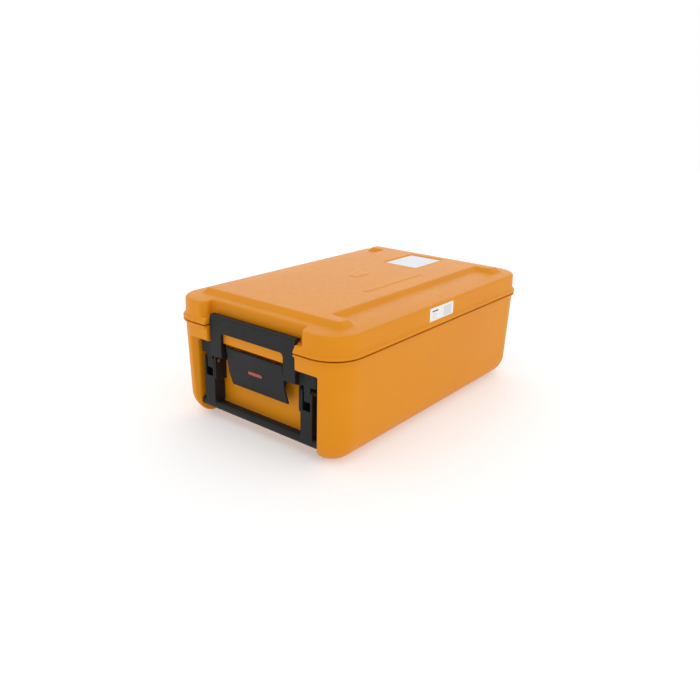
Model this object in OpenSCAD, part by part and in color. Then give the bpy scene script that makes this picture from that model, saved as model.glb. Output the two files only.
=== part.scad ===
// Insulated food carrier: a double-walled tub with a lift-off lid, and at each end
// a drop handle and an over-centre latch. +X is the width, +Y the length, +Z up.
// The origin is the middle of the base. The two ends are alike, so each part of an
// end is drawn once at -Y and turned half a turn for +Y.

/* [Carrier] */
// Overall length, over the bead at the seam
overall_l = 645; // [640:1:660]
// Overall width, over the bead at the seam
overall_w = 407; // [404:1:416]
// Height of the tub's rim
seam_z = 192.5; // [192:0.5:193]
// Height of the lid at the plateau's foot
lid_z = 236; // [235:0.5:238]
// How far the plateau stands above that strip
plateau_h = 8.5; // [6:0.5:10]
// Inward lean of the walls, in mm per mm of height
draft = 0.03; // [0.02:0.005:0.035]
// Plan radius of the bead's corners
bead_r = 60; // [58:1:64]
// How far the bead stands out from the walls
bead_out = 4.5; // [4:0.5:5.5]
// Radius between the walls and the base
base_r = 46; // [38:1:48]
// Radius between the lid's walls and its top
lid_r = 5; // [4:0.5:7]
// Thickness of the outer skins
skin = 3; // [2.5:0.1:3]

/* [Cavity] */
// Length of the cavity at the rim
cavity_l = 534; // [532:1:534]
// Width of the cavity at the rim
cavity_w = 337; // [333:1:340]
// Depth of the cavity
cavity_h = 167; // [150:1:168]
// Thickness of the inner skins
liner = 2.5; // [2:0.1:2.5]

/* [Handles] */
// Height of the handle's hinge pin
handle_pin_z = 120; // [119:0.5:121]
// Radius of the handle's hinge pin
handle_pin_r = 3; // [2.5:0.1:3]
// Half the length of the grip bar
grip_half = 145; // [140:0.5:145.5]
// Radius of the grip bar's long edges
grip_r = 8; // [4:0.5:8]

/* [Latches] */
// Half the width of the hook frame
hook_half = 104; // [102:0.5:104.5]
// Width of each arm of the hook frame
arm_w = 28; // [26:0.5:28.5]
// Height of the top of the hook frame
hook_top = 214; // [213:0.5:215]
// Half the width of the lever's plate
lever_half = 69.5; // [67.5:0.5:70]
// Height of the lever's axle
axle_z = 147.5; // [147:0.5:148]
// Radius of the lever's axle and of the hook's pins
axle_r = 3; // [2.5:0.1:3]

/* [Hidden] */
$fn = 64;
arc_steps = 12;         // straight steps in the arc between a wall and its base
crown_steps = 6;        // and across the lid's crown
eps = 0.01;
fit = 0.05;            // radial clearance of every pin in its bore
gap = 0.2;             // between skins and foam

half_l = overall_l / 2;
half_w = overall_w / 2;
wall_l = half_l - bead_out;
wall_w = half_w - bead_out;
wall_r = bead_r - bead_out;

// The seam: the two beads leave a narrow dark gap between them
seam_gap = 2;
flange_top = seam_z - seam_gap / 2;
lid_bottom = seam_z + seam_gap / 2;
flange_h = 4.5;
bead_h = 7.5;
total_h = lid_z + plateau_h;

// Inner tub
cavity_r = 40;
cavity_base_r = 25;
cavity_draft = 0.02;
cavity_z = seam_z - cavity_h;
rim_t = 3;

// Shallow panel in the base, inside its flat rim
base_panel = [128, 230];
base_panel_r = 20;
base_panel_h = 1.5;

// Recess for the handle and latch, open at the bottom. Distances are from the
// carrier's middle, along its length.
pocket_half = 146.5;
pocket_floor = 276.5;
pocket_top = 158;
pocket_skin = 2.5;     // the skin behind the recesses
lever_top = 161.5;     // the recess is this high between the brackets
lever_room_half = 95;
step_out = 305;        // the recesses' sides and top flare outside this distance
flare = 0.85;          // how far they open, in mm per mm
flare_up = 0.4;
toe_r = 34;            // radius between the recess's floor and the base
channel_half = 107;    // the narrower channel above, for the hook frame
channel_floor = 305;
catch_z = 206;         // the ledge that the hook frame's lip holds down
catch_floor = 293;     // the back of the space above that ledge
catch_half = 115.5;

// Lid. It falls away towards its edge, on an arc of radius crown_r.
crown_r = 370;
plateau_x = 131;
plateau_y = 278;
plateau_slope = 1.3;   // how far its sides lean in, in mm per mm
plateau_r = 20;
foot_depth = 3;        // how far the plateau reaches down into the crown
ear_x = 171;
ear_y = 46;
plug_drop = 6;
plug_gap = 3;
seal_w = 9;
seal_h = 3;
seal_inset = 4;
rim_plate = 4;

// Blank moulded marks on the plateau, as [x, y, half width, half length]
marks = [[-12, 5, 10, 22], [75, 5, 5, 94]];
mark_rise = 1.2;

// Labels
top_label_size = [80, 106];
top_label_at = [-6, 193];
label_t = 0.3;
label_depth = 2.5;     // depth of its shallow well
side_label_size = [81, 26];
side_label_at = [-15.5, 214.8];

// Handle and its brackets
handle_pin_y = 296;
handle_front = 303.5;
handle_back = 279.3;
arm_in = 107.5;
arm_out = 134;
arm_t = 3.5;
eye_r = 7.2;
slot_in = 112;
slot_out = 129.5;
slot_z = 89;
grip_z = [22, 39];
grip_y = [285, 303.5];
grip_mid = (grip_z[0] + grip_z[1]) / 2;
bracket_in = 103.5;
bracket_out = 141;
bracket_z = [80, 156.5];
bracket_front = 301.5;
ear_front = 303;
ear_t = 3.5;
plate_t = 2.2;
head_z = 132;          // underside of the bracket's head
tongue = [113.5, 128];
tongue_z = 103.5;
tongue_back = 289;
bracket_floor = pocket_floor + gap / 2;
screw_r = 2.4;
screw_x = 121;
screw_z = [88, 112];

// Latch
axle_y = 297.5;
hook_pin = [293.5, 133.5];
hook_front = 312;
hook_t = 5;
hook_boss_r = 6.5;
flange_t = 4;          // the arms' side flanges, which carry the pins
lip_tip = 298;
lip_z = [207.3, 209];
rail_z = 183;
arm_bottom = 134.5;
cheek_x = [62, 66.5];
flange_x = [76, 99];
lever_bend = [301.5, 109];
lever_foot = [292.5, 82];
lever_crown = [306.5, 154];
lever_t = 3.5;
lever_roll = 3;
lever_eye_r = 7;
mark_size = [34, 6];
mark_z = 121.5;
mark_t = 0.4;

// Profile of a wall: x is the distance from the corner's centre line, y is height.
// It leans in by lean, and an arc joins it to the bottom. The bottom is flat, or an
// arc of radius crown.
module wall_section(r, h, fillet, lean, crown) {
    slant = sqrt(1 + lean * lean);
    reach = crown - fillet;
    first = crown > 0
        ? asin((r - lean * (h - crown) - fillet * slant) / (reach * slant)) - atan(lean)
        : 0;
    centre = crown > 0
        ? [reach * sin(first), crown - reach * cos(first)]
        : [r - lean * (h - fillet) - fillet * slant, fillet];
    bottom = [
        for (i = [0:crown > 0 ? crown_steps - 1 : 0])
            let (a = first * i / crown_steps)
            [crown * sin(a), crown * (1 - cos(a))]
    ];
    sweep = 90 - atan(lean) - first;
    arc = [
        for (i = [0:arc_steps])
            let (a = first + sweep * i / arc_steps)
            centre + fillet * [sin(a), -cos(a)]
    ];
    polygon(concat(bottom, arc, [[r, h], [0, h]]));
}

// Carries a profile round a rectangle with rounded corners
module around(hx, hy, r) {
    for (i = [0:3]) {
        sx = (i == 0 || i == 3) ? 1 : -1;
        sy = (i < 2) ? 1 : -1;
        translate([sx * (hx - r), sy * (hy - r), 0])
            rotate([0, 0, i * 90])
            rotate_extrude(angle = 90)
            children();
    }
    for (turn = [0, 180]) {
        rotate([0, 0, turn])
            translate([hx - r, 0, 0])
            rotate([90, 0, 0])
            linear_extrude(2 * (hy - r), center = true)
            children();
        rotate([0, 0, turn + 90])
            translate([hy - r, 0, 0])
            rotate([90, 0, 0])
            linear_extrude(2 * (hx - r), center = true)
            children();
    }
}

// A solid with that outline: the profile reaches in to the corners' centre lines
module filled(hx, hy, r, h) {
    around(hx, hy, r) children();
    translate([-(hx - r), -(hy - r), 0]) cube([2 * (hx - r), 2 * (hy - r), h]);
}

// A tub-shaped solid, widest at its top
module tub(hx, hy, r, h, fillet, lean, crown = 0) {
    filled(hx, hy, r, h) wall_section(r, h, fillet, lean, crown);
}

// The same the other way up, for the lid
module dome(hx, hy, r, h, fillet, lean, crown) {
    mirror([0, 0, 1]) translate([0, 0, -h]) tub(hx, hy, r, h, fillet, lean, crown);
}

// A block with sloping sides
module frustum(hx, hy, r, h, slope) {
    filled(hx, hy, r, h) polygon([[0, 0], [r, 0], [r - slope, h], [0, h]]);
}

// A rectangle with some corners rounded, as [lower left, lower right, upper right, upper left]
module soft_rect(low, high, radii) {
    size = high - low;
    corners = [low, [high[0], low[1]], high, [low[0], high[1]]];
    difference() {
        translate(low) square(size);
        for (i = [0:3]) {
            r = radii[i];
            sx = (i == 0 || i == 3) ? 1 : -1;
            sy = (i < 2) ? 1 : -1;
            if (r > 0)
                translate(corners[i])
                    difference() {
                        translate([sx > 0 ? -1 : -r, sy > 0 ? -1 : -r]) square(r + 1);
                        translate([sx * r, sy * r]) circle(r);
                    }
        }
    }
}

// Draws at the front end or the back end
module at_end(end) {
    rotate([0, 0, end == "front" ? 0 : 180]) children();
}

module both_ends() {
    for (end = ["front", "back"]) at_end(end) children();
}

// Stands a drawing in (x, z) up, filling from distance near to far along -Y
module upright(near, far) {
    translate([0, -near, 0]) rotate([90, 0, 0]) linear_extrude(far - near) children();
}

// Stands a drawing in (distance, z) up, filling from x = from to x = to
module crosswise(from, to) {
    translate([from, 0, 0])
        rotate([90, 0, -90])
        mirror([0, 0, 1])
        linear_extrude(to - from)
        children();
}

// A round bar or hole along X at (distance, z)
module rod(at, r, from, to) {
    crosswise(from, to) translate(at) circle(r);
}

// The recess in the tub's end, grown by g for the inside of the skin
module tub_recess(g) {
    reach = half_l + 10;
    upright(pocket_floor - g, reach)
        soft_rect(
            [-pocket_half - g, -20], [pocket_half + g, pocket_top + g],
            [0, 0, 8 + g, 8 + g]
        );
    crosswise(-pocket_half - g, pocket_half + g) toe_side(g);
    upright(pocket_floor - g, reach)
        soft_rect(
            [-lever_room_half - g, 100], [lever_room_half + g, lever_top + g],
            [0, 0, 3 + g, 3 + g]
        );
    intersection() {
        translate([0, 0, -20])
            linear_extrude(220)
            flared_plan(pocket_half + g, step_out - g, flare);
        crosswise(-half_w, half_w)
            polygon([
                [step_out - g, -20], [step_out - g, pocket_top + g],
                [reach, pocket_top + g + flare_up * (reach - step_out)], [reach, -20]
            ]);
    }
    channel(pocket_top - 20, g);
}

// What the recess takes off below toe_r, where its floor curves under to the base
module toe_side(g) {
    r = toe_r - g;
    centre = pocket_floor - toe_r;
    arc = [
        for (i = [0:arc_steps])
            let (a = 90 * i / arc_steps)
            [centre + r * sin(a), toe_r - r * cos(a)]
    ];
    polygon(concat([[centre, -20]], arc, [[centre + r + 1, toe_r], [centre + r + 1, -20]]));
}

// Straight-sided channel through both beads, from height low
module channel(low, g) {
    half = channel_half + g;
    translate([-half, -half_l - 10, low])
        cube([2 * half, half_l + 10 - channel_floor + g, 60]);
}

// Plan of a recess whose sides flare outside step_out
module flared_plan(half, floor_y, slope) {
    reach = half_l + 10;
    spread = slope * (reach - step_out);
    polygon([
        [-half, -floor_y], [half, -floor_y], [half, -step_out],
        [half + spread, -reach], [-half - spread, -reach], [-half, -step_out]
    ]);
}

// The recess in the lid's end: a notch through the bead, and the space above the ledge
module lid_recess(g) {
    channel(lid_bottom - 20, g);
    translate([0, 0, catch_z - g])
        linear_extrude(60)
        flared_plan(catch_half + g, catch_floor - g, flare * 0.85);
}

module tub_void() {
    translate([0, 0, skin])
        tub(wall_w - skin, wall_l - skin, wall_r - skin, seam_z + 1, base_r - skin, draft);
}

module body_shell() {
    bead_u = bead_r - bead_out - skin;
    color("orange")
        difference() {
            union() {
                tub(wall_w, wall_l, wall_r, flange_top, base_r, draft);
                translate([0, 0, flange_top - flange_h])
                    around(half_w, half_l, bead_r)
                    soft_rect([bead_u, 0], [bead_r, flange_h], [0, 3, 1, 0]);
            }
            difference() {
                tub_void();
                both_ends() tub_recess(pocket_skin);
            }
            both_ends() tub_recess(0);
            translate([0, 0, -1])
                frustum(base_panel[0], base_panel[1], base_panel_r, base_panel_h + 1, 1);
        }
}

module cavity_outer() {
    translate([0, 0, cavity_z - liner])
        tub(
            cavity_w / 2 + liner, cavity_l / 2 + liner, cavity_r + liner,
            cavity_h + liner, cavity_base_r + liner, cavity_draft
        );
}

module body_liner() {
    color("orange")
        difference() {
            union() {
                cavity_outer();
                translate([0, 0, seam_z - rim_t])
                    linear_extrude(rim_t)
                    rim_outline(skin + gap);
            }
            translate([0, 0, cavity_z])
                tub(
                    cavity_w / 2, cavity_l / 2, cavity_r,
                    cavity_h + 1, cavity_base_r, cavity_draft
                );
        }
}

// Plan outline of the walls at the seam, drawn in by g, less the hook channels
module rim_outline(g) {
    difference() {
        soft_rect(
            [-wall_w + g, -wall_l + g], [wall_w - g, wall_l - g],
            [wall_r - g, wall_r - g, wall_r - g, wall_r - g]
        );
        for (turn = [0, 180])
            rotate(turn)
                translate([-channel_half - g, -half_l])
                square([2 * (channel_half + g), half_l - channel_floor + g]);
    }
}

module body_foam() {
    color("khaki")
        difference() {
            intersection() {
                translate([0, 0, skin + gap])
                    tub(
                        wall_w - skin - gap, wall_l - skin - gap, wall_r - skin - gap,
                        seam_z + 1 - gap, base_r - skin - gap, draft
                    );
                translate([-half_w, -half_l, 0])
                    cube([overall_w, overall_l, seam_z - rim_t - gap]);
            }
            cavity_clearance();
            both_ends() tub_recess(pocket_skin + gap);
        }
}

// The inner tub's outside with the foam's clearance
module cavity_clearance() {
    g = liner + gap;
    translate([0, 0, cavity_z - g])
        tub(
            cavity_w / 2 + g, cavity_l / 2 + g, cavity_r + g,
            cavity_h + g + 1, cavity_base_r + g, cavity_draft
        );
}

// The lid's outside without bead or recesses, drawn in by g
module lid_block(g) {
    translate([0, 0, lid_bottom])
        dome(
            wall_w - g, wall_l - g, wall_r - g, lid_z - lid_bottom - g,
            lid_r - g, draft, crown_r - g
        );
}

// The raised plateau, a little wider at its foot, with an ear at each corner
module plateau(g) {
    h = plateau_h + foot_depth;
    base = lid_z - g - foot_depth;
    slope = plateau_slope * h;
    spread = plateau_slope * foot_depth - g;
    foot = plateau_x + spread;
    ear_half = [ear_x + spread, ear_y / 2 + spread];
    ear_mid = plateau_y - ear_y / 2;
    // it ends inside the ears
    upright(-ear_mid, ear_mid)
        translate([0, base])
        polygon([[-foot, 0], [foot, 0], [foot - slope, h], [-foot + slope, h]]);
    for (s = [-1, 1])
        translate([0, s * ear_mid, base])
            frustum(ear_half[0], ear_half[1], plateau_r - g / 2, h, slope);
}

module lid_shell() {
    bead_u = bead_r - bead_out - skin;
    color("orange")
        difference() {
            union() {
                lid_block(0);
                plateau(0);
                translate([0, 0, lid_bottom])
                    around(half_w, half_l, bead_r)
                    soft_rect([bead_u, 0], [bead_r, bead_h], [0, 1, 5, 0]);
                for (m = marks)
                    translate([m[0], m[1], total_h - 1])
                        frustum(m[2], m[3], 3, mark_rise + 1, 0.6);
            }
            difference() {
                union() {
                    translate([0, 0, -1]) lid_block(skin);
                    lid_block(skin);
                    plateau(skin);
                }
                both_ends() lid_recess(skin);
                label_well(skin);
            }
            both_ends() lid_recess(0);
            label_well(0);
        }
}

// Shallow well for the lid's label, grown by g
module label_well(g) {
    border = 2 + g;
    w = top_label_size[0] / 2 + border;
    l = top_label_size[1] / 2 + border;
    translate([top_label_at[0], top_label_at[1], total_h - label_depth - g])
        linear_extrude(20)
        soft_rect([-w, -l], [w, l], [3, 3, 3, 3]);
}

module lid_liner() {
    plug_w = cavity_w / 2 - plug_gap;
    plug_l = cavity_l / 2 - plug_gap;
    plug_r = cavity_r - plug_gap;
    color("orange")
        difference() {
            union() {
                translate([0, 0, lid_bottom])
                    linear_extrude(rim_plate)
                    rim_outline(skin + gap);
                translate([0, 0, seam_z - plug_drop])
                    linear_extrude(plug_drop + 1)
                    soft_rect(
                        [-plug_w, -plug_l], [plug_w, plug_l],
                        [plug_r, plug_r, plug_r, plug_r]
                    );
            }
            translate([0, 0, seam_z - plug_drop + liner])
                linear_extrude(20)
                soft_rect(
                    [-plug_w + liner, -plug_l + liner], [plug_w - liner, plug_l - liner],
                    [plug_r - liner, plug_r - liner, plug_r - liner, plug_r - liner]
                );
            seal_ring(0);
        }
}

// The gasket, standing proud of its groove until it meets the tub's rim
module seal_ring(shrink) {
    inner_w = cavity_w / 2 + seal_inset;
    inner_l = cavity_l / 2 + seal_inset;
    r = cavity_r + seal_inset + seal_w;
    translate([0, 0, seam_z])
        around(inner_w + seal_w, inner_l + seal_w, r)
        soft_rect([r - seal_w, 0], [r, seal_h], [shrink, shrink, 0, 0]);
}

module lid_seal() {
    color("dimgray") seal_ring(1);
}

module lid_foam() {
    g = skin + gap;
    plug_w = cavity_w / 2 - plug_gap - liner - gap;
    plug_l = cavity_l / 2 - plug_gap - liner - gap;
    plug_r = cavity_r - plug_gap - liner - gap;
    low = lid_bottom + rim_plate + gap;
    color("khaki")
        difference() {
            union() {
                intersection() {
                    union() {
                        lid_block(g);
                        plateau(g);
                    }
                    translate([-half_w, -half_l, low]) cube([overall_w, overall_l, 100]);
                }
                translate([0, 0, seam_z - plug_drop + liner + gap])
                    linear_extrude(low - seam_z + plug_drop)
                    soft_rect([-plug_w, -plug_l], [plug_w, plug_l], [plug_r, plug_r, plug_r, plug_r]);
            }
            both_ends() lid_recess(g);
            label_well(g);
        }
}

module top_label() {
    size = top_label_size;
    color("whitesmoke")
        translate([top_label_at[0] - size[0] / 2, top_label_at[1] - size[1] / 2, 0])
        translate([0, 0, total_h - label_depth])
        linear_extrude(label_t)
        soft_rect([0, 0], size, [1, 1, 1, 1]);
}

// Stuck on the lid's long wall, so it leans with the wall
module side_label() {
    rise = side_label_at[1] - lid_bottom;
    size = side_label_size;
    color("whitesmoke")
        translate([wall_w - draft * rise, side_label_at[0], side_label_at[1]])
        rotate([0, -atan(draft), 0])
        rotate([90, 0, 90])
        linear_extrude(label_t)
        soft_rect(-size / 2, size / 2, [3, 3, 3, 3]);
}

// One bracket; side is -1 for the one at -X
module bracket(side) {
    mirror([side < 0 ? 1 : 0, 0, 0])
        difference() {
            union() {
                // plate on the recess floor
                upright(bracket_floor, bracket_floor + plate_t)
                    soft_rect(
                        [bracket_in, bracket_z[0]], [bracket_out, bracket_z[1]], [4, 4, 4, 0]
                    );
                // head, across the top
                upright(bracket_floor, bracket_front)
                    soft_rect(
                        [bracket_in, head_z], [bracket_out, bracket_z[1]], [0, 2, 6, 0]
                    );
                // tongue that carries the handle's pin
                crosswise(tongue[0], tongue[1])
                    soft_rect([tongue_back, tongue_z], [bracket_front, head_z + 1], [5, 2, 0, 0]);
                // inner ear, for the lever's axle and the handle's pin
                crosswise(bracket_in, bracket_in + ear_t)
                    soft_rect(
                        [bracket_floor, bracket_z[0]], [ear_front, bracket_z[1]], [0, 8, 5, 0]
                    );
            }
            rod([handle_pin_y, handle_pin_z], handle_pin_r + fit, bracket_in - 1, tongue[1] + 1);
            rod([axle_y, axle_z], axle_r + fit, bracket_in - 1, bracket_in + ear_t + 3);
            for (z = screw_z)
                translate([screw_x, -bracket_floor - plate_t - 1, z])
                    rotate([-90, 0, 0])
                    cylinder(h = plate_t + 2, r = screw_r - 1);
        }
}

// Pan-head screws through both brackets' plates
module bracket_screws() {
    color("silver")
        for (x = [-screw_x, screw_x], z = screw_z)
            translate([x, -bracket_floor - plate_t, z])
                rotate([90, 0, 0])
                difference() {
                    union() {
                        cylinder(h = 1.6, r = screw_r);
                        translate([0, 0, -plate_t]) cylinder(h = plate_t + 1, r = screw_r - 1);
                    }
                    translate([0, 0, 0.8]) cylinder(h = 2, r = 1.1, $fn = 6);
                }
}

// The handle's arm in side view: an eye at the pin, straight down to the grip
module arm_side() {
    translate([handle_pin_y, handle_pin_z]) circle(eye_r);
    translate([handle_back, grip_mid])
        square([handle_front - handle_back, handle_pin_z - 2 - grip_mid]);
}

module handle() {
    color("#2b2b2e")
        difference() {
            union() {
                for (s = [0, 1])
                    mirror([s, 0, 0]) {
                        crosswise(arm_in, arm_in + arm_t) arm_side();
                        crosswise(arm_out - arm_t, arm_out) arm_side();
                        // front web, joined to the grip
                        upright(handle_front - arm_t, handle_front)
                            soft_rect(
                                [arm_in, grip_mid], [arm_out, handle_pin_z + 2], [0, 0, 6, 6]
                            );
                    }
                crosswise(-grip_half, grip_half)
                    soft_rect(
                        [grip_y[0], grip_z[0]], [grip_y[1], grip_z[1]],
                        [grip_r, grip_r, grip_r, 4]
                    );
            }
            for (s = [0, 1])
                mirror([s, 0, 0]) {
                    // slot that clears the bracket's tongue
                    translate([slot_in, -handle_front - 1, slot_z])
                        cube([slot_out - slot_in, 8, 60]);
                    rod([handle_pin_y, handle_pin_z], handle_pin_r + fit, arm_in - 1, arm_out + 1);
                }
        }
}

module handle_pins() {
    color("silver")
        for (s = [0, 1])
            mirror([s, 0, 0]) {
                rod([handle_pin_y, handle_pin_z], handle_pin_r, bracket_in - 1.5, arm_out - 0.5);
            }
}

// The lever's plate in side view: rolled crown, bend, and a foot that turns in
module lever_side() {
    polygon([
        [lever_crown[0] - lever_t, lever_crown[1]], lever_crown,
        lever_bend, lever_foot,
        [lever_foot[0] - lever_t, lever_foot[1] + 1], [lever_bend[0] - lever_t, lever_bend[1] + 1]
    ]);
    translate([lever_crown[0] - lever_roll, lever_crown[1]]) circle(lever_roll);
}

// Cheek that carries the axle and the hook's pin
module lever_cheek() {
    hull() {
        translate([axle_y, axle_z]) circle(lever_eye_r, $fn = 32);
        translate(hook_pin) circle(lever_eye_r - 1, $fn = 32);
        translate([lever_bend[0] - 4, lever_bend[1] + 6]) circle(2, $fn = 16);
    }
}

module lever() {
    color("#2b2b2e")
        difference() {
            union() {
                crosswise(-lever_half, lever_half) lever_side();
                for (s = [0, 1])
                    mirror([s, 0, 0]) crosswise(cheek_x[0], cheek_x[1]) lever_cheek();
            }
            rod([axle_y, axle_z], axle_r + fit, -lever_half - 1, lever_half + 1);
            for (s = [0, 1])
                mirror([s, 0, 0]) rod(hook_pin, axle_r + fit, cheek_x[0] - 1, lever_half + 1);
        }
}

module lever_axle() {
    end = bracket_in + ear_t;
    color("silver") rod([axle_y, axle_z], axle_r, -end, end);
}

// A plain inlay on the face of the plate, above its bend
module lever_mark() {
    fall = (lever_crown[0] - lever_bend[0]) / (lever_crown[1] - lever_bend[1]);
    r = mark_size[1] / 2 - eps;
    color("orangered")
        translate([0, -lever_bend[0] - fall * (mark_z - lever_bend[1]), mark_z])
        rotate([atan(fall), 0, 0])
        rotate([90, 0, 0])
        linear_extrude(mark_t)
        soft_rect(-mark_size / 2, mark_size / 2, [r, r, r, r]);
}

// The hook frame's top rail in side view, with its lip over the lid's ledge
module rail_side() {
    soft_rect([hook_front - hook_t, rail_z], [hook_front, hook_top], [0, 0, hook_t, 0]);
    soft_rect([lip_tip, lip_z[1]], [hook_front - hook_t + 1, hook_top], [1, 0, 0, 3]);
    soft_rect([lip_tip, lip_z[0]], [lip_tip + 3, lip_z[1] + 2], [1, 1, 0, 0]);
}

// Flange along an arm in side view: round the pin, then up behind the arm
module flange_side() {
    back = channel_floor + 0.8;
    translate(hook_pin) circle(hook_boss_r);
    polygon([
        [hook_pin[0], hook_pin[1] - hook_boss_r], [hook_front - 1, arm_bottom],
        [hook_front - 1, rail_z + 2], [back, rail_z + 2], [back, pocket_top - 0.5],
        [hook_pin[0], hook_pin[1] + hook_boss_r]
    ]);
}

module hook() {
    color("#2b2b2e")
        difference() {
            union() {
                crosswise(-hook_half, hook_half) rail_side();
                for (s = [0, 1])
                    mirror([s, 0, 0]) {
                        upright(hook_front - hook_t, hook_front)
                            soft_rect(
                                [hook_half - arm_w, arm_bottom], [hook_half, rail_z + 4],
                                [2, 6, 0, 0]
                            );
                        for (x = flange_x)
                            crosswise(x, x + flange_t) flange_side();
                        // fillet between arm and rail
                        upright(hook_front - hook_t, hook_front)
                            difference() {
                                translate([hook_half - arm_w - 8, rail_z - 8]) square([9, 9]);
                                translate([hook_half - arm_w - 8, rail_z - 8]) circle(8);
                            }
                    }
            }
            for (s = [0, 1])
                mirror([s, 0, 0]) {
                    rod(hook_pin, axle_r + fit, flange_x[0] - 1, hook_half + 1);
                    rod([axle_y, axle_z], axle_r + 1.2, flange_x[0] - 1, hook_half + 1);
                }
        }
}

module hook_pins() {
    color("silver")
        for (s = [0, 1])
            mirror([s, 0, 0]) rod(hook_pin, axle_r, cheek_x[0], flange_x[1] + flange_t);
}

body_shell();
body_liner();
body_foam();
lid_shell();
lid_liner();
lid_foam();
lid_seal();
top_label();
side_label();
at_end("front") color("#2b2b2e") bracket(-1);  // front_bracket_left
at_end("front") color("#2b2b2e") bracket(1);  // front_bracket_right
at_end("front") bracket_screws();  // front_bracket_screws
at_end("front") handle();  // front_handle
at_end("front") handle_pins();  // front_handle_pins
at_end("front") lever();  // front_lever
at_end("front") lever_axle();  // front_lever_axle
at_end("front") lever_mark();  // front_lever_mark
at_end("front") hook();  // front_hook
at_end("front") hook_pins();  // front_hook_pins
at_end("back") color("#2b2b2e") bracket(1);  // back_bracket_left
at_end("back") color("#2b2b2e") bracket(-1);  // back_bracket_right
at_end("back") bracket_screws();  // back_bracket_screws
at_end("back") handle();  // back_handle
at_end("back") handle_pins();  // back_handle_pins
at_end("back") lever();  // back_lever
at_end("back") lever_axle();  // back_lever_axle
at_end("back") lever_mark();  // back_lever_mark
at_end("back") hook();  // back_hook
at_end("back") hook_pins();  // back_hook_pins
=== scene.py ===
import math
import bmesh
import bpy
from mathutils import Matrix, Vector


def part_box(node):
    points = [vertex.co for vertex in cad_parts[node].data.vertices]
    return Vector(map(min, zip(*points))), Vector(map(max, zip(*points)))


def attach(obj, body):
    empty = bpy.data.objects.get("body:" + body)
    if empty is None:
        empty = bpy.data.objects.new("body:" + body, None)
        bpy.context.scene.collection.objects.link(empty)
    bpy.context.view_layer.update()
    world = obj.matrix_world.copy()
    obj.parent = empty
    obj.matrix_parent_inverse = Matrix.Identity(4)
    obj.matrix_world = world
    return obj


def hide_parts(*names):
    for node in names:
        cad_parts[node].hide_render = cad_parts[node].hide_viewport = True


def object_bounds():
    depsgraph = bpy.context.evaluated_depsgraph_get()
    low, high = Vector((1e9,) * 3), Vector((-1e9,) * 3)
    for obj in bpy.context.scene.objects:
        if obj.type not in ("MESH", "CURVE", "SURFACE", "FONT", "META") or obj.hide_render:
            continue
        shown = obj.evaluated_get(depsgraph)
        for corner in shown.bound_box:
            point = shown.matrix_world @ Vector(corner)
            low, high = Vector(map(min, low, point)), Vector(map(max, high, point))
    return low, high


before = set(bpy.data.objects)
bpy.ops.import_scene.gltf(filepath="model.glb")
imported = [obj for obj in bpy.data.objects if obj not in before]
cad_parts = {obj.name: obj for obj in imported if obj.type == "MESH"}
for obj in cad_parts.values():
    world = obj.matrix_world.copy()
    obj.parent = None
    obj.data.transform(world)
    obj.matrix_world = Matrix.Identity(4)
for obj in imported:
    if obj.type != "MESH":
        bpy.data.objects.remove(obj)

LOW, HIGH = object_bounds()

# How softened() rounds each kind of moulding: the finer the moulding, the smaller the voxels
SKIN = {"voxel": 0.0018, "rounds": 2, "keep": 0.3}
LINING = {"voxel": 0.0020, "rounds": 2, "keep": 0.2}
FITTING = {"voxel": 0.0006, "rounds": 3, "keep": 0.3}
GRIP = {"voxel": 0.0007, "rounds": 4, "keep": 0.3}
SAME_PLACE = 0.00001

# The side label's print. Each patch is its left, right, bottom and top, as shares of the label.
HEADING = (0.10, 0.34, 0.70, 0.80)
THIN_BARS = [(0.10, 0.26, 0.56, 0.60), (0.10, 0.32, 0.44, 0.48),
             (0.10, 0.22, 0.32, 0.36), (0.10, 0.30, 0.20, 0.24)]
SQUARES = (0.58, 0.92, 0.14, 0.88)
SQUARES_SCALE = 620.0
# How strongly the thin bars and the squares are inked, where 1 hides the film
BAR_INK, SQUARE_INK = 0.7, 0.75
SHADE = 0.94            # a film's darker patches, against its own colour

# Camera, fitted to the photo: angles in degrees, lens and sensor in millimetres
CAMERA_AZIMUTH, CAMERA_ELEVATION, CAMERA_ROLL = 38.08, 19.99, 1.435
CAMERA_PLACE = (0.8312, -1.0953, 0.5858)
CAMERA_LENS, CAMERA_SENSOR = 35.95, 36.0

FLOOR_HALF = 6.0
AIM = (0.0, 0.0, 0.12)
WHITE = (1.0, 1.0, 1.0, 1.0)


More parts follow.
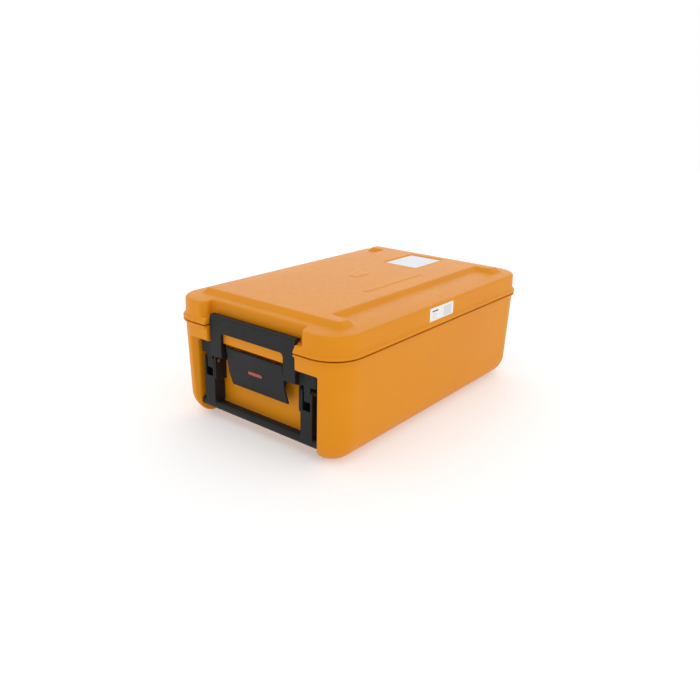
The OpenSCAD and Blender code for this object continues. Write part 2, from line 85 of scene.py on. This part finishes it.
# ---------------------------------------------------------------- material helpers
class Tree:
    """A node material being built: short calls for the nodes that the materials here share."""

    def __init__(self, name):
        self.material = bpy.data.materials.new(name)
        self.material.use_nodes = True
        self.nodes = self.material.node_tree.nodes
        self.links = self.material.node_tree.links
        self.shader = self.nodes["Principled BSDF"]
        self.place = self.nodes.new("ShaderNodeTexCoord").outputs["Object"]

    def link(self, source, target):
        self.links.new(source, target)

    def feed(self, socket, value):
        """Gives a socket a number, an RGB colour or another node's output."""
        if isinstance(value, (int, float)):
            socket.default_value = value
        elif isinstance(value, tuple):
            socket.default_value = (*value, 1.0)
        else:
            self.link(value, socket)

    def noise(self, scale, detail=4.0, roughness=0.5, at=None):
        node = self.nodes.new("ShaderNodeTexNoise")
        node.inputs["Scale"].default_value = scale
        node.inputs["Detail"].default_value = detail
        node.inputs["Roughness"].default_value = roughness
        self.link(at or self.place, node.inputs["Vector"])
        return node.outputs["Fac"]

    def cells(self, scale):
        node = self.nodes.new("ShaderNodeTexVoronoi")
        node.inputs["Scale"].default_value = scale
        self.link(self.place, node.inputs["Vector"])
        return node.outputs["Distance"]

    def stretched(self, factors):
        node = self.nodes.new("ShaderNodeMapping")
        node.inputs["Scale"].default_value = factors
        self.link(self.place, node.inputs["Vector"])
        return node.outputs["Vector"]

    def ranged(self, value, band, out=(0.0, 1.0)):
        """Maps the band of values onto out, and holds what lies beyond at its ends."""
        node = self.nodes.new("ShaderNodeMapRange")
        node.inputs["From Min"].default_value = band[0]
        node.inputs["From Max"].default_value = band[1]
        node.inputs["To Min"].default_value = out[0]
        node.inputs["To Max"].default_value = out[1]
        self.link(value, node.inputs["Value"])
        return node.outputs["Result"]

    def patches(self, scale, detail, band, out=(0.0, 1.0)):
        """Noise, with the band of its values mapped onto out."""
        return self.ranged(self.noise(scale, detail), band, out)

    def maths(self, operation, a, b):
        node = self.nodes.new("ShaderNodeMath")
        node.operation = operation
        for socket, value in zip(node.inputs, (a, b)):
            self.feed(socket, value)
        return node.outputs["Value"]

    def times(self, a, b):
        return self.maths("MULTIPLY", a, b)

    def between(self, value, low, high):
        return self.times(self.maths("GREATER_THAN", value, low), self.maths("LESS_THAN", value, high))

    def mixed(self, share, a, b):
        """Colour a where share is 0, and b where it is 1."""
        node = self.nodes.new("ShaderNodeMix")
        node.data_type = "RGBA"
        # The node has one set of sockets per data type: 0 is the factor, 6 and 7 are the colours
        self.feed(node.inputs[0], share)
        self.feed(node.inputs[6], a)
        self.feed(node.inputs[7], b)
        return node.outputs[2]

    def worn(self, colour, mask, share, tint):
        """The colour, moved by share towards tint where mask is 1."""
        return self.mixed(self.times(mask, share), colour, tint)

    def edges(self, band):
        """1 on the convex edges of a dense mesh, 0 elsewhere."""
        node = self.nodes.new("ShaderNodeNewGeometry")
        return self.ranged(node.outputs["Pointiness"], band)

    def bump(self, height, distance, strength, below=None):
        node = self.nodes.new("ShaderNodeBump")
        node.inputs["Distance"].default_value = distance
        node.inputs["Strength"].default_value = strength
        self.link(height, node.inputs["Height"])
        if below is not None:
            self.link(below, node.inputs["Normal"])
        return node.outputs["Normal"]

    def finish(self, colour, roughness, normal, **fixed):
        self.link(colour, self.shader.inputs["Base Color"])
        self.link(roughness, self.shader.inputs["Roughness"])
        self.link(normal, self.shader.inputs["Normal"])
        for name, value in fixed.items():
            self.shader.inputs[name.replace("_", " ")].default_value = value
        return self.material


# ---------------------------------------------------------------- materials
def polyethylene(name, base, dark, pale):
    """Rotomoulded plastic: slow shifts of colour, a fine pebbled skin, scuffs and paler edges."""
    t = Tree(name)
    shift = t.patches(scale=5.0, detail=3.0, band=(0.35, 0.65))
    fine = t.patches(scale=900.0, detail=2.0, band=(0.3, 0.7))
    wear = t.times(t.edges(band=(0.52, 0.60)), t.patches(scale=60.0, detail=5.0, band=(0.45, 0.7)))
    streaks = t.noise(scale=26.0, detail=8.0, roughness=0.7, at=t.stretched((1.0, 1.0, 6.0)))
    scuffs = t.ranged(streaks, band=(0.60, 0.72))
    colour = t.mixed(shift, dark, base)
    for mask, share in ((fine, 0.05), (wear, 0.30), (scuffs, 0.06)):
        colour = t.worn(colour, mask, share, pale)
    satin = t.patches(scale=120.0, detail=4.0, band=(0.3, 0.7), out=(0.40, 0.50))
    roughness = t.maths("ADD", satin, t.times(scuffs, 0.08))
    pebbles = t.bump(t.cells(scale=650.0), distance=0.00012, strength=0.35)
    waves = t.noise(scale=45.0, detail=3.0)
    skin = t.bump(waves, distance=0.0006, strength=0.12, below=pebbles)
    return t.finish(colour, roughness, skin, IOR=1.5, Specular_IOR_Level=0.2)


def nylon(name):
    """Black glass-filled nylon: near black, sparkled with fibre ends, greyer along its edges."""
    t = Tree(name)
    shift = t.patches(scale=14.0, detail=4.0, band=(0.35, 0.65))
    flecks = t.patches(scale=1500.0, detail=1.0, band=(0.62, 0.72))
    wear = t.times(t.edges(band=(0.53, 0.62)), t.patches(scale=220.0, detail=4.0, band=(0.45, 0.65)))
    colour = t.mixed(shift, (0.009, 0.0093, 0.010), (0.013, 0.0133, 0.0145))
    colour = t.worn(colour, flecks, share=0.12, tint=(0.06, 0.06, 0.064))
    colour = t.worn(colour, wear, share=0.35, tint=(0.08, 0.08, 0.084))
    roughness = t.patches(scale=300.0, detail=4.0, band=(0.3, 0.7), out=(0.42, 0.58))
    grain = t.bump(t.cells(scale=1400.0), distance=0.00008, strength=0.35)
    return t.finish(colour, roughness, grain, IOR=1.5, Specular_IOR_Level=0.22)


def steel(name, bright, dull, rough):
    """Turned rod: fine rings round its length, a little tarnish. A warm tint in its colours is a
    painted reflection of what stands around it.
    """
    t = Tree(name)
    tarnish = t.patches(scale=180.0, detail=5.0, band=(0.4, 0.65))
    colour = t.mixed(tarnish, bright, dull)
    rings = t.noise(scale=900.0, detail=3.0, roughness=0.6, at=t.stretched((6.0, 1.0, 1.0)))
    roughness = t.ranged(rings, band=(0.3, 0.7), out=(rough - 0.06, rough + 0.08))
    normal = t.bump(rings, distance=0.00003, strength=0.4)
    return t.finish(colour, roughness, normal, Metallic=1.0)


def silicone(name):
    """Soft dark grey gasket, matt and faintly mottled."""
    t = Tree(name)
    mottle = t.patches(scale=60.0, detail=4.0, band=(0.35, 0.65))
    colour = t.mixed(mottle, (0.045, 0.045, 0.048), (0.07, 0.07, 0.074))
    roughness = t.patches(scale=400.0, detail=3.0, band=(0.3, 0.7), out=(0.55, 0.7))
    grain = t.noise(scale=1200.0, detail=2.0)
    return t.finish(colour, roughness, t.bump(grain, distance=0.00006, strength=0.3))


def film_colour(t, base, shade):
    """A film's own colour, with faint handling marks."""
    return t.mixed(t.patches(scale=38.0, detail=5.0, band=(0.4, 0.7)), base, shade)


def film_finish(t, colour):
    """Ends a film's material with the sheen and the slight unevenness that all films here share."""
    roughness = t.patches(scale=160.0, detail=4.0, band=(0.3, 0.7), out=(0.34, 0.46))
    waves = t.noise(scale=220.0, detail=2.0)
    return t.finish(colour, roughness, t.bump(waves, distance=0.00005, strength=0.25))


def film(name, base, shade):
    """Plain film, nearly even."""
    t = Tree(name)
    return film_finish(t, film_colour(t, base, shade))


def printed_film(name, base, dark, grey):
    """The side label's film, with a generic print: plain bars and a block of small squares."""
    t = Tree(name)
    low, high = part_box("side_label")
    axes = t.nodes.new("ShaderNodeSeparateXYZ")
    t.link(t.place, axes.inputs["Vector"])
    along = t.ranged(axes.outputs["Y"], (low.y, high.y))
    up = t.ranged(axes.outputs["Z"], (low.z, high.z))

    def patch(left, right, bottom, top):
        return t.times(t.between(along, left, right), t.between(up, bottom, top))

    colour = film_colour(t, base, tuple(SHADE * part for part in base))
    colour = t.mixed(patch(*HEADING), colour, dark)
    for bar in THIN_BARS:
        colour = t.worn(colour, patch(*bar), share=BAR_INK, tint=grey)
    checks = t.nodes.new("ShaderNodeTexChecker")
    checks.inputs["Scale"].default_value = SQUARES_SCALE
    t.link(t.place, checks.inputs["Vector"])
    squares = t.times(patch(*SQUARES), t.times(checks.outputs["Fac"], SQUARE_INK))
    colour = t.mixed(squares, colour, grey)
    return film_finish(t, colour)


def foam_bead(name):
    """Rigid foam, with the outlines of its beads."""
    t = Tree(name)
    bead = t.cells(scale=260.0)
    colour = t.mixed(t.ranged(bead, band=(0.0, 0.6)), (0.80, 0.70, 0.42), (0.62, 0.52, 0.28))
    roughness = t.patches(scale=300.0, detail=4.0, band=(0.3, 0.7), out=(0.75, 0.9))
    return t.finish(colour, roughness, t.bump(bead, distance=0.0006, strength=0.6))


SHELL = polyethylene("shell_plastic", base=(0.700, 0.252, 0.002), dark=(0.675, 0.238, 0.002),
                     pale=(0.76, 0.31, 0.02))
LINER = polyethylene("liner_plastic", base=(0.700, 0.256, 0.005), dark=(0.670, 0.240, 0.004),
                     pale=(0.76, 0.32, 0.03))
NYLON = nylon("black_nylon")
# The bright steel's colours are tinted warm brown: a painted reflection of the orange shell around the
# pins. Its patches of duller colour are tarnish.
STEEL = steel("bright_steel", bright=(0.56, 0.53, 0.48), dull=(0.42, 0.38, 0.33), rough=0.30)
DARK_STEEL = steel("blackened_steel", bright=(0.045, 0.045, 0.047), dull=(0.03, 0.03, 0.031),
                   rough=0.42)
SEAL = silicone("silicone")
LABEL = film("label_film", base=(0.63, 0.665, 0.70), shade=(0.60, 0.635, 0.67))
PRINTED = printed_film("printed_label", base=(0.80, 0.80, 0.79), dark=(0.05, 0.05, 0.055),
                       grey=(0.34, 0.35, 0.37))
MARK = film("mark_inlay", base=(0.40, 0.07, 0.035), shade=(0.34, 0.055, 0.03))
FOAM = foam_bead("foam")


# ---------------------------------------------------------------- pieces
def added(name, data):
    """A new object in the scene."""
    thing = bpy.data.objects.new(name, data)
    bpy.context.scene.collection.objects.link(thing)
    return thing


def weld(mesh):
    """Joins the vertices that lie in one place, so that the mesh is closed."""
    bm = bmesh.new()
    bm.from_mesh(mesh)
    bmesh.ops.remove_doubles(bm, verts=bm.verts, dist=SAME_PLACE)
    bm.to_mesh(mesh)
    bm.free()


def settle(piece):
    """Applies a piece's modifiers to its mesh."""
    evaluated = piece.evaluated_get(bpy.context.evaluated_depsgraph_get())
    mesh = bpy.data.meshes.new_from_object(evaluated)
    piece.modifiers.clear()
    old, piece.data = piece.data, mesh
    bpy.data.meshes.remove(old)


def softened(node, name, body, slot, material, voxel, rounds, keep):
    """A copy of a CAD node with every edge rounded, as moulding leaves it.

    The copy is rebuilt as an even mesh of voxel-sized faces. Each round of smoothing widens
    the rounding of its edges. The reduction that follows keeps the share keep of its faces,
    and takes the others from flat areas first.
    """
    piece = added(name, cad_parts[node].data.copy())
    piece.data.materials.clear()
    weld(piece.data)
    remesh = piece.modifiers.new("even", "REMESH")
    remesh.mode = "VOXEL"
    remesh.voxel_size = voxel
    remesh.adaptivity = 0.0
    smooth = piece.modifiers.new("round", "SMOOTH")
    smooth.factor = 0.5
    smooth.iterations = rounds
    thin = piece.modifiers.new("thin", "DECIMATE")
    thin.ratio = keep
    settle(piece)
    for face in piece.data.polygons:
        face.use_smooth = True
    piece.data.materials.append(material)
    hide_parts(node)
    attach(piece, body)


def paint(node, material):
    """Gives a CAD node that stays in view its material."""
    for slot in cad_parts[node].material_slots:
        slot.material = material


softened("body_shell", "tub_shell", "tub", "shell", SHELL, **SKIN)
softened("lid_shell", "lid_cover", "lid", "shell", SHELL, **SKIN)
softened("body_liner", "tub_liner", "tub", "liner", LINER, **LINING)
softened("lid_liner", "lid_underside", "lid", "liner", LINER, **LINING)
paint("body_foam", FOAM)
paint("lid_foam", FOAM)
paint("lid_seal", SEAL)
paint("top_label", LABEL)
paint("side_label", PRINTED)
for end in ("front", "back"):
    for side in ("left", "right"):
        softened(f"{end}_bracket_{side}", f"{end}_{side}_bracket", "tub", "black_nylon", NYLON,
                 **FITTING)
    softened(f"{end}_handle", f"{end}_grip", f"{end}_handle", "black_nylon", NYLON, **GRIP)
    softened(f"{end}_lever", f"{end}_latch_lever", f"{end}_lever", "black_nylon", NYLON, **FITTING)
    softened(f"{end}_hook", f"{end}_hook_frame", f"{end}_hook", "black_nylon", NYLON, **FITTING)
    paint(f"{end}_bracket_screws", STEEL)
    paint(f"{end}_handle_pins", STEEL)
    paint(f"{end}_lever_axle", DARK_STEEL)
    paint(f"{end}_hook_pins", DARK_STEEL)
    paint(f"{end}_lever_mark", MARK)


# ---------------------------------------------------------------- floor, camera and light
def make_floor():
    """A pale floor under the carrier. It glows a little, so that it looks nearly white."""
    far = FLOOR_HALF
    mesh = bpy.data.meshes.new("floor")
    mesh.from_pydata([(-far, -far, 0), (far, -far, 0), (far, far, 0), (-far, far, 0)],
                     [], [(0, 1, 2, 3)])
    floor = added("floor", mesh)
    floor.location.z = LOW.z
    t = Tree("pale_floor")
    colour = t.mixed(t.noise(scale=2.0), (0.72, 0.72, 0.72), (0.735, 0.735, 0.735))
    roughness = t.patches(scale=4.0, detail=4.0, band=(0.3, 0.7), out=(0.8, 0.9))
    normal = t.bump(t.noise(scale=30.0), distance=0.0002, strength=0.1)
    mesh.materials.append(
        t.finish(colour, roughness, normal, Emission_Color=WHITE, Emission_Strength=0.3))


def make_camera():
    """A camera at the photo's viewing angle, set by its place, direction, roll and field of view."""
    azimuth, elevation, roll = (
        math.radians(angle) for angle in (CAMERA_AZIMUTH, CAMERA_ELEVATION, CAMERA_ROLL))
    back = Vector((math.sin(azimuth) * math.cos(elevation),
                   -math.cos(azimuth) * math.cos(elevation),
                   math.sin(elevation)))
    right = Vector((math.cos(azimuth), math.sin(azimuth), 0))
    up = back.cross(right)
    turned = right * math.cos(roll) + up * math.sin(roll)
    above = back.cross(turned)
    camera = added("camera", bpy.data.cameras.new("camera"))
    camera.matrix_world = Matrix((turned, above, back)).transposed().to_4x4()
    camera.location = CAMERA_PLACE
    camera.data.sensor_width = CAMERA_SENSOR
    camera.data.lens = CAMERA_LENS
    bpy.context.scene.camera = camera


def softbox(name, place, size, power):
    """A rectangular light that faces the carrier. Its power is in watts."""
    light = bpy.data.lights.new(name, "AREA")
    light.shape = "RECTANGLE"
    light.size, light.size_y = size
    light.energy = power
    lamp = added(name, light)
    lamp.location = place
    lamp.rotation_euler = (Vector(AIM) - Vector(place)).to_track_quat("-Z", "Y").to_euler()


def make_light():
    """White surroundings and three weak softboxes."""
    world = bpy.data.worlds.new("studio")
    bpy.context.scene.world = world
    world.use_nodes = True
    background = world.node_tree.nodes["Background"]
    background.inputs["Color"].default_value = WHITE
    background.inputs["Strength"].default_value = 1.0
    softbox("behind", place=(-1.6, 2.1, 1.1), size=(2.4, 1.2), power=8.0)
    softbox("side", place=(2.4, 0.2, 1.3), size=(1.6, 1.6), power=5.0)
    softbox("front", place=(-0.6, -2.4, 1.2), size=(1.8, 1.4), power=1.5)


make_floor()
make_camera()
make_light()
bpy.context.scene.view_settings.view_transform = "Standard"
